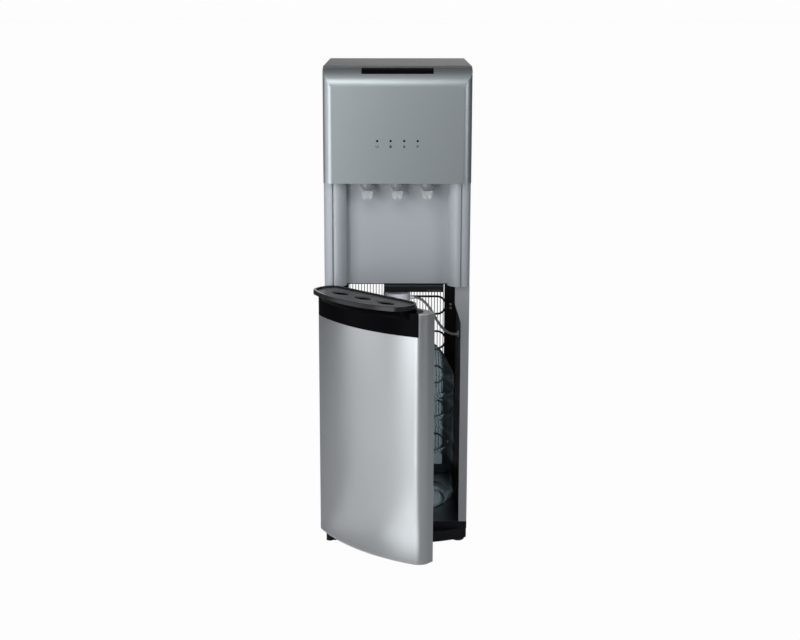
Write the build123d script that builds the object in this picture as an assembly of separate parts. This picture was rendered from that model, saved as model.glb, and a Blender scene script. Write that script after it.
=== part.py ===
from build123d import *
import math
import os

# Free-standing water dispenser with the bottle in the base, door standing open.
# Millimetres, +X to the viewer's right, +Z up, the front faces -Y.
# Pieces are drawn with y = 0 on the cabinet's front plane and moved at the end,
# so that the origin lies on the floor under the middle of the cabinet.

# Bottle, which sets the size of the compartment round it
bottle_radius = 134.0
bottle_height = 465.0
bottle_wall = 1.6
bottle_heel = 16.0
groove_depth = 5.0
groove_half_width = 7.0
groove_drops = (149.0, 71.0, 21.0)
groove_round = 4.0
shoulder_height = 295.0
shoulder_step = 30.0
shoulder_rise = 58.0
shoulder_round = 45.0
knee_round = 90.0
neck_radius = 28.0
neck_length = 41.0
neck_flare = 5.0
neck_flare_drop = 12.0
neck_flare_round = 15.0
neck_round = 12.0
bottle_side_room = 6.0
bottle_front_room = 38.5
bottle_rear_room = 38.5
bottle_head_room = 49.0

# Probe cap on the bottle's neck
cap_radius = 30.0
cap_fit = 0.2
cap_skirt = 17.0
cap_top = 27.0
cap_round = 3.0
spout_radius = 4.5
spout_reach = 9.0
dip_tube_radius = 6.0
dip_tube_bore = 4.5
dip_tube_clear = 12.0

# Stock
sheet = 1.2
wall = 2.5
seat_gap = 0.2
liner_cavity = 11.3

# Base and feet
foot_height = 8.0
foot_radius = 14.0
foot_inset = 18.0
base_height = 40.0
base_lip = 24.0
base_floor = 35.0
base_floor_thick = 4.0
base_wall = 4.0
base_bow = 33.0
base_corner = 12.0
base_rim = 20.0
seat_depth = 3.0
seat_room = 3.0

# Cabinet
upper_setback = 14.0
stile_width = 18.0
stile_top_width = 31.0
stile_taper_top = 40.0
stile_taper = 40.0
bend_radius = 2.0
rear_flange = 14.0
rear_margin = 41.0
rear_sill = 14.0
deck_drop = 1.0
deck_flange = 14.0
shelf_drop = 18.0
shelf_front = 48.0

# Alcove and head
alcove_height = 222.7
alcove_depth = 28.0
column_front = 9.0
column_width = 17.5
column_round_back = 8.0
flute_depth = 4.5
flute_width = 4.0
pilaster_width = 26.0
pilaster_front = 10.5
crown_share = 0.45
head_height = 237.0
head_proud = 24.0
head_corner = 18.0
head_roll = 38.0
window_width = 149.0
window_angle = 45.0
window_sink = 0.3
lens_radius = 2.5
lens_pitch = 28.0
lens_drop = 148.0
lens_proud = 0.4
board_width = 124.0
board_height = 40.0
board_thick = 1.6
board_post = 5.5
post_radius = 3.5
lid_thick = 4.0
lid_skirt = 12.0
lid_skirt_inset = 8.0

# Taps
tap_pitch = 63.0
tap_y = 2.0
collar_radius = 14.5
collar_height = 15.0
collar_foot = 10.0
nozzle_radius = 6.5
nozzle_bore = 4.0
nozzle_length = 13.0
stem_radius = 8.0
stem_length = 22.0
stem_fit = 0.3
nut_radius = 13.0
nut_height = 7.0
trunnion_radius = 2.0
trunnion_drop = 5.0
trunnion_root = 0.5
lever_fit = 0.05
lever_gap = 0.4
lever_arm = 2.2
paddle_gap = 5.0
paddle_thick = 2.2
paddle_top_width = 24.0
paddle_foot_width = 17.0
paddle_rise = 3.5
paddle_drop = 14.0
paddle_notch = 5.0
tap_hose_radius = 5.0
tap_hose_bend = 24.0
tap_hose_rise = 44.0

# Tanks, compressor and pump behind the alcove
tank_rear_room = 65.6
tank_side_room = 9.8
cold_radius = 82.0
cold_height = 200.0
jacket_round = 10.0
tank_gap = 14.0
hot_height = 165.0
hot_dome = 17.0
band_rise = 18.0
band_height = 40.0
band_thick = 3.0
compressor_side_room = 21.8
compressor_rear_room = 20.6
compressor_radius = 72.0
compressor_height = 150.0
compressor_foot = 3.0
compressor_plate_depth = 104.0
grommet_height = 12.0
grommet_radius = 11.0
pump_head_length = 34.0
pump_width = 50.0
pump_height = 56.0
motor_length = 60.0
motor_radius = 24.0
pump_side_room = 20.0
pump_lead = 22.5

# Suction hose, its wall fitting and the pipe up to the pump
hose_radius = 3.0
bulkhead_radius = 8.0
bulkhead_flange = 3.0
bulkhead_length = 9.0
bulkhead_rise = 45.0
hose_lead = 16.0
hose_bend_share = 0.8
riser_radius = 3.5
riser_bend = 10.0

# Condenser on the back
tube_radius = 2.5
tube_pitch = 43.0
tube_runs = 11
tube_first_run = 45.6
tube_standoff = 9.0
condenser_margin = 37.0
riser_line_gap = 10.0
line_inlet_rise = 31.0
wire_radius = 0.8
wire_pitch = 7.0
wire_margin = 6.0
wire_overhang = 10.0
bracket_half = 9.0
bracket_thick = 2.0
bracket_width = 17.5
bracket_hook = 8.0
screw_head = 3.4
screw_shank = 1.6
screw_head_height = 1.6
screw_dome = 1.0

# Switches, cord entry and drain on the back
switch_side_room = 57.8
switch_z = 118.0
rocker_width = 14.0
rocker_height = 22.0
rocker_sink = 3.0
rocker_fit = 0.6
rocker_gap = 8.0
rocker_pivot = 2.0
rocker_pivot_fit = 0.05
rocker_angle = 9.0
switch_frame_margin = 5.0
switch_frame_thick = 2.5
entry_step = 34.0
entry_z = 40.0
entry_radius = 4.0
entry_flange = 9.0
entry_body = 7.0
drain_x = 8.0
drain_z = 28.0
drain_radius = 12.0
drain_length = 16.0
drain_grip = 1.5
drain_grips = 12
louvre_count = 9
louvre_pitch = 14.0
louvre_length = 90.0
louvre_height = 5.0
louvre_base = 60.0

# Door
open_angle = 44.0
door_gap = 1.0
door_side = 36.0
door_bow = 31.0
door_corner = 26.0
door_free_corner = 3.0
door_top_gap = 7.0
door_foot_gap = 12.0
hinge_inset = 8.0
cap_flange = 3.0
cap_plug = 12.0
pin_radius = 3.0
pin_fit = 0.05
bush_wall = 1.8
pin_reach = 12.0
hinge_plate = 3.0
hinge_plate_gap = 1.5
hinge_leg = 30.0
skin_return_hinge = 18.0
skin_return_free = 12.0
liner_channel = 1.2
liner_channel_width = 46.0
liner_channel_pitch = 82.0

# Drip apron, tray and grille on the door
apron_side = 10.0
apron_corner = 24.0
apron_fit = 0.3
apron_height = 48.5
apron_wall = 3.0
flare_rise = 33.0
flare_cove = 0.3
tray_side = 14.0
tray_back = 13.0
tray_front = 105.0
tray_sag = 32.0
tray_corner = 34.0
tray_back_corner = 30.0
tray_floor_corner = 10.0
tray_lip = 9.0
tray_rim_step = 6.0
tray_wall = 2.5
tray_depth = 14.0
tray_floor_front = 57.0
tray_floor_inset = 15.0
tray_floor_sag = 13.0
tray_fit = 0.5
grille_thick = 3.0
grille_sink = 4.0
grille_fit = 0.5
grille_ledge = 4.0
eye_pitch = 66.0
eye_half_width = 24.0
eye_back = 12.5
eye_front = 11.5
eye_chamfer = 1.2
eye_y = -50.0

# Catch
catch_width = 128.0
catch_margin = 21.0
catch_front = 4.0
catch_depth = 42.0
catch_height = 12.0
magnet_inset = 76.0
magnet_width = 30.0
magnet_height = 5.0
magnet_proud = 0.6
strike_thick = 1.0
strike_margin = 1.0

# Levels and places worked out from the sizes above
half = bottle_radius + bottle_side_room + wall + liner_cavity + sheet
liner_x = bottle_radius + bottle_side_room
depth = bottle_front_room + 2 * bottle_radius + bottle_rear_room
bottle_y = bottle_front_room + bottle_radius
base_top = foot_height + base_height
lip_top = foot_height + base_lip
floor_z = foot_height + base_floor
seat_z = floor_z - seat_depth
neck_z = seat_z + bottle_height
cap_z = neck_z + cap_top
alcove_bottom = cap_z + bottle_head_room
alcove_top = alcove_bottom + alcove_height
head_bottom = alcove_top + seat_gap
head_top = head_bottom + head_height
deck_top = alcove_bottom - deck_drop
deck_bottom = deck_top - sheet
shelf_top = alcove_top - shelf_drop
inner_half = half - sheet
rear_inner = depth - 2 * sheet
hinge_x = -(half - hinge_inset)
hinge_y = -(door_gap + hinge_inset)
door_bottom = lip_top + door_foot_gap
door_top = alcove_bottom - door_top_gap
apron_bottom = door_top - apron_height
flare_bottom = apron_bottom + flare_rise
lip_bottom = door_top + door_top_gap - seat_gap
tray_top = lip_bottom + tray_lip
hot_radius = inner_half - tank_side_room - cold_radius - tank_gap / 2 - band_thick
tank_y = rear_inner - tank_rear_room - cold_radius
compressor_x = compressor_side_room + compressor_radius - inner_half
compressor_y = rear_inner - compressor_rear_room - compressor_radius
pump_y = bottle_y - pump_lead
condenser_half = half - condenser_margin
wire_count = 2 * int((condenser_half - wire_margin) / wire_pitch) + 1
switch_x = inner_half - switch_side_room
entry_x = switch_x - entry_step
apron_half = half - apron_side
tray_half = apron_half - tray_side
tray_floor_half = tray_half - tray_floor_inset
magnet_x = half - magnet_inset
hinge_line = Axis((hinge_x, hinge_y, 0), (0, 0, 1))
tap_sides = {"left": -1, "centre": 0, "right": 1}


def block(x0, x1, y0, y1, z0, z1):
    """Box between two opposite corners."""
    box = Box(x1 - x0, y1 - y0, z1 - z0, align=(Align.MIN, Align.MIN, Align.MIN))
    return Pos(x0, y0, z0) * box


def rod(radius, start, direction, length):
    """Round bar from a point along a direction."""
    return extrude(Plane(origin=start, z_dir=direction) * Circle(radius), amount=length)


def turned(x, y, points):
    """Solid of revolution about a vertical line, from (radius, height) points."""
    face = make_face(Plane.XZ * Polyline(*points, close=True))
    return Pos(x, y, 0) * revolve(face, Axis.Z)


def raised(face, low, high):
    """Flat outline lifted into a prism between two heights."""
    return extrude(Pos(0, 0, low) * face, amount=high - low)


def pipe(radius, points, radii):
    """Round tube along straight runs joined by arcs."""
    path = FilletPolyline(*points, radius=radii)
    start = Plane(origin=path @ 0, z_dir=path % 0)
    return sweep(start * Circle(radius), path=path)


def mirrored(shape):
    return mirror(shape, about=Plane.YZ)


def swung(shape):
    """Door pieces are drawn closed and swung open about the hinge line."""
    return shape.rotate(hinge_line, -open_angle)


# Base

def base_outline():
    edges = [
        Line((half, depth), (-half, depth)),
        Line((-half, depth), (-half, base_corner / 2)),
        ThreePointArc((-half, base_corner / 2), (0, -base_bow), (half, base_corner / 2)),
        Line((half, base_corner / 2), (half, depth)),
    ]
    face = make_face(edges)
    front = [v for v in face.vertices() if v.Y < depth / 2]
    return fillet(front, base_corner)


def foot_places():
    xs = (-(half - foot_inset), half - foot_inset)
    ys = (foot_inset, depth - foot_inset)
    return [(x, y) for x in xs for y in ys]


def base_tray():
    """Moulded base: bowed lip, hinge ear, raised rim with the bottle's seat, hollow below."""
    outline = base_outline()
    body = raised(outline, foot_height, lip_top)
    body += block(-half, half, 0, depth, lip_top, base_top)
    body -= raised(offset(outline, -base_wall), foot_height, lip_top - base_wall)
    body -= block(-half + base_rim, half - base_rim, base_wall, depth - base_wall,
                  foot_height, seat_z - base_floor_thick)
    for x, y in foot_places():
        body += Pos(x, y, 0) * raised(Circle(foot_radius + base_wall / 2), foot_height, lip_top)
    ear = Pos(hinge_x, hinge_y) * Circle(hinge_inset)
    ear += Pos(hinge_x, (hinge_y + base_corner) / 2) * Rectangle(2 * hinge_inset, base_corner - hinge_y)
    body += raised(ear, foot_height, lip_top)
    body -= block(-half + base_rim, half - base_rim, base_rim, depth - base_rim, floor_z, base_top)
    seat = Pos(0, bottle_y, 0) * Circle(bottle_radius + seat_room)
    body -= raised(seat, seat_z, base_top)
    body -= rod(pin_radius, (hinge_x, hinge_y, lip_top - pin_reach), (0, 0, 1), pin_reach)
    return body


def feet():
    chamfer_size = 2.0
    points = [(0, 0), (foot_radius - chamfer_size, 0), (foot_radius, chamfer_size),
              (foot_radius, foot_height), (0, foot_height)]
    return [turned(x, y, points) for x, y in foot_places()]


# Cabinet shell

def stile_face(top):
    """Front flange of a side panel: wide under the alcove, narrower below its taper."""
    taper_top = alcove_bottom - stile_taper_top
    outline = Polyline(
        (half, base_top), (half, top), (half - stile_top_width, top),
        (half - stile_top_width, taper_top),
        (half - stile_width, taper_top - stile_taper),
        (half - stile_width, base_top), close=True)
    face = make_face(outline)
    waist = [v for v in face.vertices() if taper_top - stile_taper - 1 < v.Y < taper_top + 1]
    return fillet(waist, stile_taper / 2)


def side_panel(stile_top):
    """Right-hand panel, bent in one piece with its front stile and rear flange."""
    plate = block(inner_half, half, 0, depth, base_top, stile_top)
    plate += block(inner_half, half, upper_setback, depth, stile_top, head_top)
    plate += extrude(Plane.XZ * stile_face(stile_top), amount=-sheet)
    plate += block(half - rear_flange, half, depth - sheet, depth, base_top, head_top)
    uprights = plate.edges().filter_by(Axis.Z)
    bends = [e for e in uprights
             if abs(e.center().X - half) < 0.01 and (e.center().Y < 0.01 or e.center().Y > depth - 0.01)]
    return fillet(bends, bend_radius)


def rear_frame():
    top = deck_bottom
    frame = block(-inner_half, inner_half, rear_inner, depth - sheet, base_top, top)
    opening = half - rear_margin
    frame -= block(-opening, opening, rear_inner, depth - sheet, base_top + rear_sill, top - rear_sill)
    for x, z in screw_places():
        frame -= rod(screw_shank, (x, rear_inner, z), (0, 1, 0), sheet)
    return frame


def back_panel():
    low = deck_bottom + seat_gap
    panel = block(-inner_half, inner_half, rear_inner, depth - sheet, low, head_top)
    for side in (-1, 1):
        for row in range(louvre_count):
            z = shelf_top + louvre_base + row * louvre_pitch
            slot = SlotOverall(louvre_length, louvre_height)
            place = Plane(origin=(side * half / 2, rear_inner, z), x_dir=(1, 0, 0), z_dir=(0, 1, 0))
            panel -= extrude(place * slot, amount=sheet)
    panel -= switch_window(seat_gap)
    entry = (entry_x, rear_inner, deck_top + entry_z)
    panel -= rod(entry_body + seat_gap, entry, (0, 1, 0), sheet)
    drain = (drain_x, rear_inner, deck_top + drain_z)
    panel -= rod(drain_radius / 2 + seat_gap, drain, (0, 1, 0), sheet)
    for x in line_inlets():
        inlet = (x, rear_inner, line_inlet_z())
        panel -= rod(tube_radius + seat_gap, inlet, (0, 1, 0), sheet)
    return panel


def mid_deck():
    front = alcove_depth + wall + seat_gap
    deck = block(-inner_half, inner_half, front, rear_inner, deck_bottom, deck_top)
    deck += block(-inner_half, inner_half, front, front + sheet, deck_top, deck_top + deck_flange)
    riser = (riser_x(), pump_y, deck_bottom)
    deck -= rod(riser_radius + seat_gap, riser, (0, 0, 1), sheet)
    return deck


def tank_shelf():
    low = shelf_top - sheet
    shelf = block(-inner_half, inner_half, shelf_front, rear_inner, low, shelf_top)
    shelf += block(-inner_half, inner_half, shelf_front, shelf_front + sheet,
                   low - deck_flange, low)
    return shelf


def top_lid():
    front = head_roll - head_proud
    lid = block(-half, half, front, depth, head_top, head_top + lid_thick)
    lid = fillet(lid.edges().group_by(Axis.Z)[-1], lid_thick / 2)
    inset = lid_skirt_inset
    skirt = block(-half + inset, half - inset, front + inset, depth - inset,
                  head_top - lid_skirt, head_top)
    skirt -= block(-half + inset + wall, half - inset - wall, front + inset + wall,
                   depth - inset - wall, head_top - lid_skirt, head_top)
    return lid + skirt


# Head

def head_form(inset, back, low):
    """Head moulding: rounded uprights crossed with a front that rolls over at the top."""
    width = 2 * (half - inset)
    front = -head_proud + inset
    plan = Pos(0, (front + back) / 2) * Rectangle(width, back - front)
    corners = [v for v in plan.vertices() if v.Y < front + 1]
    plan = fillet(corners, head_corner - inset)
    top = head_top - inset
    side = Pos((front + back) / 2, (low + top) / 2) * Rectangle(back - front, top - low)
    nose = [v for v in side.vertices() if v.X < front + 1 and v.Y > top - 1]
    side = fillet(nose, head_roll - inset)
    turned_side = Plane(origin=(-half, 0, 0), x_dir=(0, 1, 0), z_dir=(1, 0, 0)) * side
    return raised(plan, low, top) & extrude(turned_side, amount=2 * half)


def head_shell(outer):
    inside = head_form(wall, upper_setback + wall, head_bottom - wall)
    return head_form(outer, upper_setback, head_bottom) - inside


def window_zone(room):
    low = head_top - head_roll * (1 - math.sin(math.radians(window_angle)))
    reach = window_width / 2 - room
    return block(-reach, reach, -head_proud, upper_setback, low + room, head_top)


def lens_places():
    z = head_top - lens_drop
    return [((i - 1.5) * lens_pitch, z) for i in range(4)]


def head_panel():
    shell = head_shell(0) - window_zone(0)
    back_of_front = -head_proud + wall
    z = head_top - lens_drop
    for x in (-board_width / 2 + post_radius, board_width / 2 - post_radius):
        for dz in (-board_height / 2 + post_radius, board_height / 2 - post_radius):
            shell += rod(post_radius, (x, back_of_front, z + dz), (0, 1, 0), board_post)
    for x, z in lens_places():
        shell -= rod(lens_radius, (x, -head_proud, z), (0, 1, 0), wall)
    return shell


def head_window():
    return head_shell(window_sink) & window_zone(seat_gap)


def indicator_lenses():
    length = lens_proud + wall + board_post
    return [rod(lens_radius, (x, -head_proud - lens_proud, z), (0, 1, 0), length)
            for x, z in lens_places()]


def control_board():
    front = -head_proud + wall + board_post
    z = head_top - lens_drop
    return block(-board_width / 2, board_width / 2, front, front + board_thick,
                 z - board_height / 2, z + board_height / 2)


# Alcove

def alcove_edges(side):
    """Half of the alcove's front line, from the cabinet's side in to the flat back."""
    def at(x, y):
        return (side * x, y)

    column_in = half - column_width
    pilaster_out = column_in - flute_width
    pilaster_in = pilaster_out - pilaster_width
    crown = pilaster_out - pilaster_width * crown_share
    outer = TangentArc(at(half, column_round_back), at(column_in, -column_front), tangent=(0, -1))
    flute_a = Line(at(column_in, -column_front), at(column_in - flute_width / 2, flute_depth - column_front))
    flute_b = Line(at(column_in - flute_width / 2, flute_depth - column_front),
                   at(pilaster_out, -column_front))
    bulge = ThreePointArc(at(pilaster_out, -column_front), at((pilaster_out + crown) / 2, -pilaster_front),
                          at(crown, -column_front))
    cheek = TangentArc(at(crown, -column_front), at(pilaster_in, alcove_depth / 2),
                       tangent=bulge % 1)
    reveal = Line(at(pilaster_in, alcove_depth / 2), at(pilaster_in, alcove_depth))
    return [outer, flute_a, flute_b, bulge, cheek, reveal], pilaster_in


def alcove_face():
    right, inner = alcove_edges(1)
    left, inner = alcove_edges(-1)
    back = alcove_depth + 4 * wall
    closing = [
        Line((inner, alcove_depth), (-inner, alcove_depth)),
        Line((-half, column_round_back), (-half, back)),
        Line((-half, back), (half, back)),
        Line((half, back), (half, column_round_back)),
    ]
    return make_face(right + left + closing), inner


def alcove_panel():
    face, inner = alcove_face()
    shell = raised(face, alcove_bottom, alcove_top)
    core = offset(face, -wall, kind=Kind.INTERSECTION)
    shell -= raised(core, alcove_bottom, alcove_top)
    behind = alcove_depth + wall
    shell -= block(-half, half, behind, behind + 4 * wall, alcove_bottom, alcove_top)
    for side in (-1, 1):
        near = side * (inner + wall + seat_gap)
        far = side * half
        shell -= block(min(near, far), max(near, far), upper_setback, behind, alcove_bottom, alcove_top)
    inset = wall + seat_gap
    soffit = head_form(inset, behind, alcove_top)
    soffit &= block(-half, half, -head_proud, behind, alcove_top, alcove_top + wall)
    shell += soffit
    for side in tap_sides.values():
        hole = (side * tap_pitch, tap_y, alcove_top)
        shell -= rod(stem_radius + stem_fit, hole, (0, 0, 1), wall)
    return shell


# Taps

def tap_body(side):
    x = side * tap_pitch
    foot = alcove_top - collar_height
    tip = foot - nozzle_length
    points = [
        (nozzle_bore, tip), (nozzle_radius, tip), (nozzle_radius, foot), (collar_foot, foot),
        (collar_radius, alcove_top - collar_height / 2), (collar_radius, alcove_top),
        (stem_radius, alcove_top), (stem_radius, alcove_top + stem_length),
        (nozzle_bore, alcove_top + stem_length),
    ]
    body = turned(x, tap_y, points)
    reach = nozzle_radius + lever_gap + lever_arm
    for out in (-1, 1):
        start = (x + out * (nozzle_radius - trunnion_root), tap_y, foot - trunnion_drop)
        body += rod(trunnion_radius, start, (out, 0, 0), reach - nozzle_radius + trunnion_root)
    return body


def lever_pivot_z():
    return alcove_top - collar_height - trunnion_drop


def tap_lever(side):
    """Forked paddle hung on the nozzle's two trunnions."""
    x = side * tap_pitch
    pivot = lever_pivot_z()
    face_y = tap_y - nozzle_radius - paddle_gap
    outline = Polyline(
        (-paddle_top_width / 2, paddle_rise), (paddle_top_width / 2, paddle_rise),
        (paddle_foot_width / 2, -paddle_drop), (-paddle_foot_width / 2, -paddle_drop), close=True)
    plate = fillet(make_face(outline).vertices(), paddle_thick)
    notch = Polyline((-paddle_notch / 2, -paddle_drop), (paddle_notch / 2, -paddle_drop),
                     (0, -paddle_drop / 3), close=True)
    plate -= make_face(notch)
    front = Plane(origin=(x, face_y, pivot), x_dir=(1, 0, 0), z_dir=(0, -1, 0))
    lever = extrude(front * plate, amount=paddle_thick)
    inner = nozzle_radius + lever_gap
    eye = trunnion_radius + paddle_thick
    for out in (-1, 1):
        near = x + out * inner
        far = x + out * (inner + lever_arm)
        low, high = min(near, far), max(near, far)
        arm = block(low, high, face_y - paddle_thick / 2, tap_y, pivot - eye, pivot + paddle_rise)
        arm += rod(eye, (low, tap_y, pivot), (1, 0, 0), lever_arm)
        arm -= rod(trunnion_radius + lever_fit, (low, tap_y, pivot), (1, 0, 0), lever_arm)
        lever += arm
    return lever


def tap_nuts():
    low = alcove_top + wall
    nuts = []
    for side in tap_sides.values():
        nut = raised(RegularPolygon(nut_radius, 6), low, low + nut_height)
        nut -= raised(Circle(stem_radius), low, low + nut_height)
        nuts.append(Pos(side * tap_pitch, tap_y, 0) * nut)
    return nuts


def tank_x(radius):
    return inner_half - tank_side_room - radius


def cold_tank_jacket():
    x = -tank_x(cold_radius)
    jacket = raised(Pos(x, tank_y) * Circle(cold_radius), shelf_top, shelf_top + cold_height)
    return fillet(jacket.edges().group_by(Axis.Z)[-1], jacket_round)


def hot_tank():
    top = shelf_top + hot_height
    tank = raised(Pos(tank_x(hot_radius), tank_y) * Circle(hot_radius), shelf_top, top)
    return fillet(tank.edges().group_by(Axis.Z)[-1], hot_dome)


def heater_band():
    low = shelf_top + band_rise
    ring = Circle(hot_radius + band_thick) - Circle(hot_radius)
    return raised(Pos(tank_x(hot_radius), tank_y) * ring, low, low + band_height)


def tap_hoses():
    """Hoses from the tap stems back to the tanks, cut off at each tank's wall."""
    start = alcove_top + stem_length
    top = start + tap_hose_rise
    tanks = {"left": cold_tank_jacket(), "centre": cold_tank_jacket(), "right": hot_tank()}
    hoses = []
    for name, side in tap_sides.items():
        x = side * tap_pitch
        route = [(x, tap_y, start), (x, tap_y, top), (x, tank_y, top)]
        hose = pipe(tap_hose_radius, route, [tap_hose_bend]) - tanks[name]
        hoses.append(hose.solids().sort_by(Axis.Y)[0])
    return hoses


def compressor():
    """Welded can on a foot plate that stands on rubber grommets."""
    base = deck_top + grommet_height
    top = base + compressor_foot + compressor_height
    plate = RectangleRounded(2 * compressor_radius, compressor_plate_depth, grommet_radius)
    body = Pos(compressor_x, compressor_y) * raised(plate, base, base + compressor_foot)
    can = Pos(compressor_x, compressor_y) * Circle(compressor_radius - grommet_radius / 2)
    can = raised(can, base + compressor_foot, top)
    can = fillet(can.edges().group_by(Axis.Z)[-1], compressor_radius / 2)
    seam = Pos(compressor_x, compressor_y) * Circle(compressor_radius - grommet_radius / 2 + wall)
    middle = (base + top) / 2
    return body + can + raised(seam, middle, middle + wall)


def compressor_grommets():
    reach_x = compressor_radius - grommet_radius - wall
    reach_y = compressor_plate_depth / 2 - grommet_radius - wall
    grommet = raised(Circle(grommet_radius), deck_top, deck_top + grommet_height)
    return [Pos(compressor_x + i * reach_x, compressor_y + j * reach_y, 0) * grommet
            for i in (-1, 1) for j in (-1, 1)]


def pump_x():
    return inner_half - pump_side_room - pump_width / 2


def water_pump():
    """Pump head and motor lying on the deck, with the inlet towards the side panel."""
    x = pump_x()
    side = pump_width / 2
    back = pump_y + pump_head_length / 2
    front = pump_y - pump_head_length / 2
    head = block(x - side, x + side, front, back, deck_top, deck_top + pump_height)
    axis_z = deck_top + wall + motor_radius
    motor = rod(motor_radius, (x, front, axis_z), (0, -1, 0), motor_length)
    saddle = block(x - side / 2, x + side / 2, front - motor_length, front, deck_top, axis_z)
    return head + motor + saddle


# Suction side

def riser_x():
    return liner_x + wall + liner_cavity / 2


def bulkhead_place():
    return (liner_x, pump_y, seat_z + shoulder_height + shoulder_rise + bulkhead_rise)


def suction_hose():
    """Hose from the probe cap's spout down to the fitting on the right liner."""
    x, y, z = bulkhead_place()
    start_x = cap_radius + spout_reach
    start_z = neck_z + cap_top / 2
    end_x = x - bulkhead_length
    route = [
        (start_x, bottle_y, start_z), (start_x + hose_lead, bottle_y, start_z),
        (end_x - hose_lead, y, z), (end_x, y, z),
    ]
    radii = []
    for before, here, after in zip(route, route[1:], route[2:]):
        into = Vector(*here) - Vector(*before)
        out = Vector(*after) - Vector(*here)
        half_turn = math.radians(into.get_angle(out)) / 2
        radii.append(hose_bend_share * min(into.length, out.length) / math.tan(half_turn))
    return pipe(hose_radius, route, radii)


def hose_bulkhead():
    """Wall fitting: hose tail and flange inside, stem through the liner to the pipe."""
    x, y, z = bulkhead_place()
    body = rod(bulkhead_radius, (x - bulkhead_flange, y, z), (1, 0, 0), bulkhead_flange)
    body += rod(hose_radius, (x - bulkhead_length, y, z), (1, 0, 0), bulkhead_length)
    stem = riser_x() - riser_radius - x
    return body + rod(bulkhead_radius / 2, (x, y, z), (1, 0, 0), stem)


def riser_pipe():
    """Pipe up the cavity behind the liner, through the deck and over to the pump."""
    x, y, z = bulkhead_place()
    top = deck_top + pump_height / 2
    route = [(riser_x(), y, z - bulkhead_radius), (riser_x(), y, top),
             (pump_x() + pump_width / 2, y, top)]
    return pipe(riser_radius, route, [riser_bend])


def liner(top, with_fitting):
    """Right-hand compartment wall, its front edge turned out behind the stile."""
    front = sheet + seat_gap
    panel = block(liner_x, liner_x + wall, front, rear_inner, base_top, top)
    panel += block(liner_x, inner_half, front, front + wall, base_top, top)
    if with_fitting:
        panel -= rod(bulkhead_radius / 2, bulkhead_place(), (1, 0, 0), wall)
    return panel


def bottle_points(shrink):
    """Half outline of the bottle, moved inwards by a wall's thickness."""
    r = bottle_radius - shrink
    points = [(0, shrink), (r - bottle_heel, shrink), (r, bottle_heel)]
    radii = [bottle_heel / 2, bottle_heel / 2]
    for drop in groove_drops:
        g = shoulder_height - drop
        points += [(r, g - groove_half_width), (r - groove_depth, g), (r, g + groove_half_width)]
        radii += [groove_round] * 3
    neck = neck_radius - shrink
    rim = bottle_height - neck_length
    knee = shoulder_height + shoulder_rise
    points += [(r, shoulder_height), (r - shoulder_step, knee)]
    radii += [shoulder_round, knee_round]
    points += [(neck + neck_flare, rim - neck_flare_drop), (neck, rim), (neck, bottle_height)]
    radii += [neck_flare_round, neck_round]
    return points, radii


def bottle_form(shrink):
    points, radii = bottle_points(shrink)
    outline = FilletPolyline(*points, radius=radii)
    closing = Polyline(points[-1], (0, bottle_height), points[0])
    face = Plane.XZ * make_face(outline.edges() + closing.edges())
    return Pos(0, bottle_y, seat_z) * revolve(face, Axis.Z)


def bottle():
    return bottle_form(0) - bottle_form(bottle_wall)


def probe_cap():
    skirt = neck_z - cap_skirt
    inner = neck_radius + cap_fit
    points = [(inner, skirt), (cap_radius, skirt), (cap_radius, cap_z), (0, cap_z),
              (0, neck_z), (inner, neck_z)]
    cap = turned(0, bottle_y, points)
    cap = fillet(cap.edges().group_by(Axis.Z)[-1], cap_round)
    spout = (cap_radius - spout_radius, bottle_y, neck_z + cap_top / 2)
    return cap + rod(spout_radius, spout, (1, 0, 0), spout_radius + spout_reach)


def dip_tube():
    low = seat_z + bottle_wall + dip_tube_clear
    ring = Circle(dip_tube_radius) - Circle(dip_tube_bore)
    return raised(Pos(0, bottle_y) * ring, low, neck_z)


# Condenser

def line_inlet_z():
    return deck_top + line_inlet_rise


def line_inlets():
    return (-(condenser_half + riser_line_gap), condenser_half)


def first_run_z():
    return base_top + tube_first_run


def condenser_tube():
    """One tube: out through the back, down the side, up through the runs and back in."""
    y = depth + tube_standoff
    inside = rear_inner - tube_standoff
    turn = tube_standoff - seat_gap
    u_bend = tube_pitch / 2 - seat_gap / 2
    down_x, up_x = line_inlets()
    low = first_run_z()
    points = [(down_x, inside, line_inlet_z()), (down_x, y, line_inlet_z()), (down_x, y, low)]
    radii = [turn, riser_line_gap]
    side = 1
    for run in range(tube_runs):
        z = low + run * tube_pitch
        points.append((side * condenser_half, y, z))
        radii.append(u_bend)
        if run < tube_runs - 1:
            points.append((side * condenser_half, y, z + tube_pitch))
            radii.append(u_bend)
        side = -side
    points += [(up_x, y, line_inlet_z()), (up_x, inside, line_inlet_z())]
    radii.append(turn)
    return pipe(tube_radius, points, radii)


def condenser_wires():
    """Straight wires laid against both faces of the tube runs."""
    low = first_run_z() - wire_overhang
    length = (tube_runs - 1) * tube_pitch + 2 * wire_overhang
    away = tube_radius + wire_radius
    wires = []
    for i in range(wire_count):
        x = (i - (wire_count - 1) / 2) * wire_pitch
        for face in (-1, 1):
            start = (x, depth + tube_standoff + face * away, low)
            wires.append(rod(wire_radius, start, (0, 0, 1), length))
    return wires


def bracket_places():
    """Side and height of the bends that the brackets hook round."""
    bends = tube_runs - 1
    picked = (0, bends - 2, 1, bends - 1)
    return [(1 if bend % 2 == 0 else -1, first_run_z() + (bend + 0.5) * tube_pitch) for bend in picked]


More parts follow.
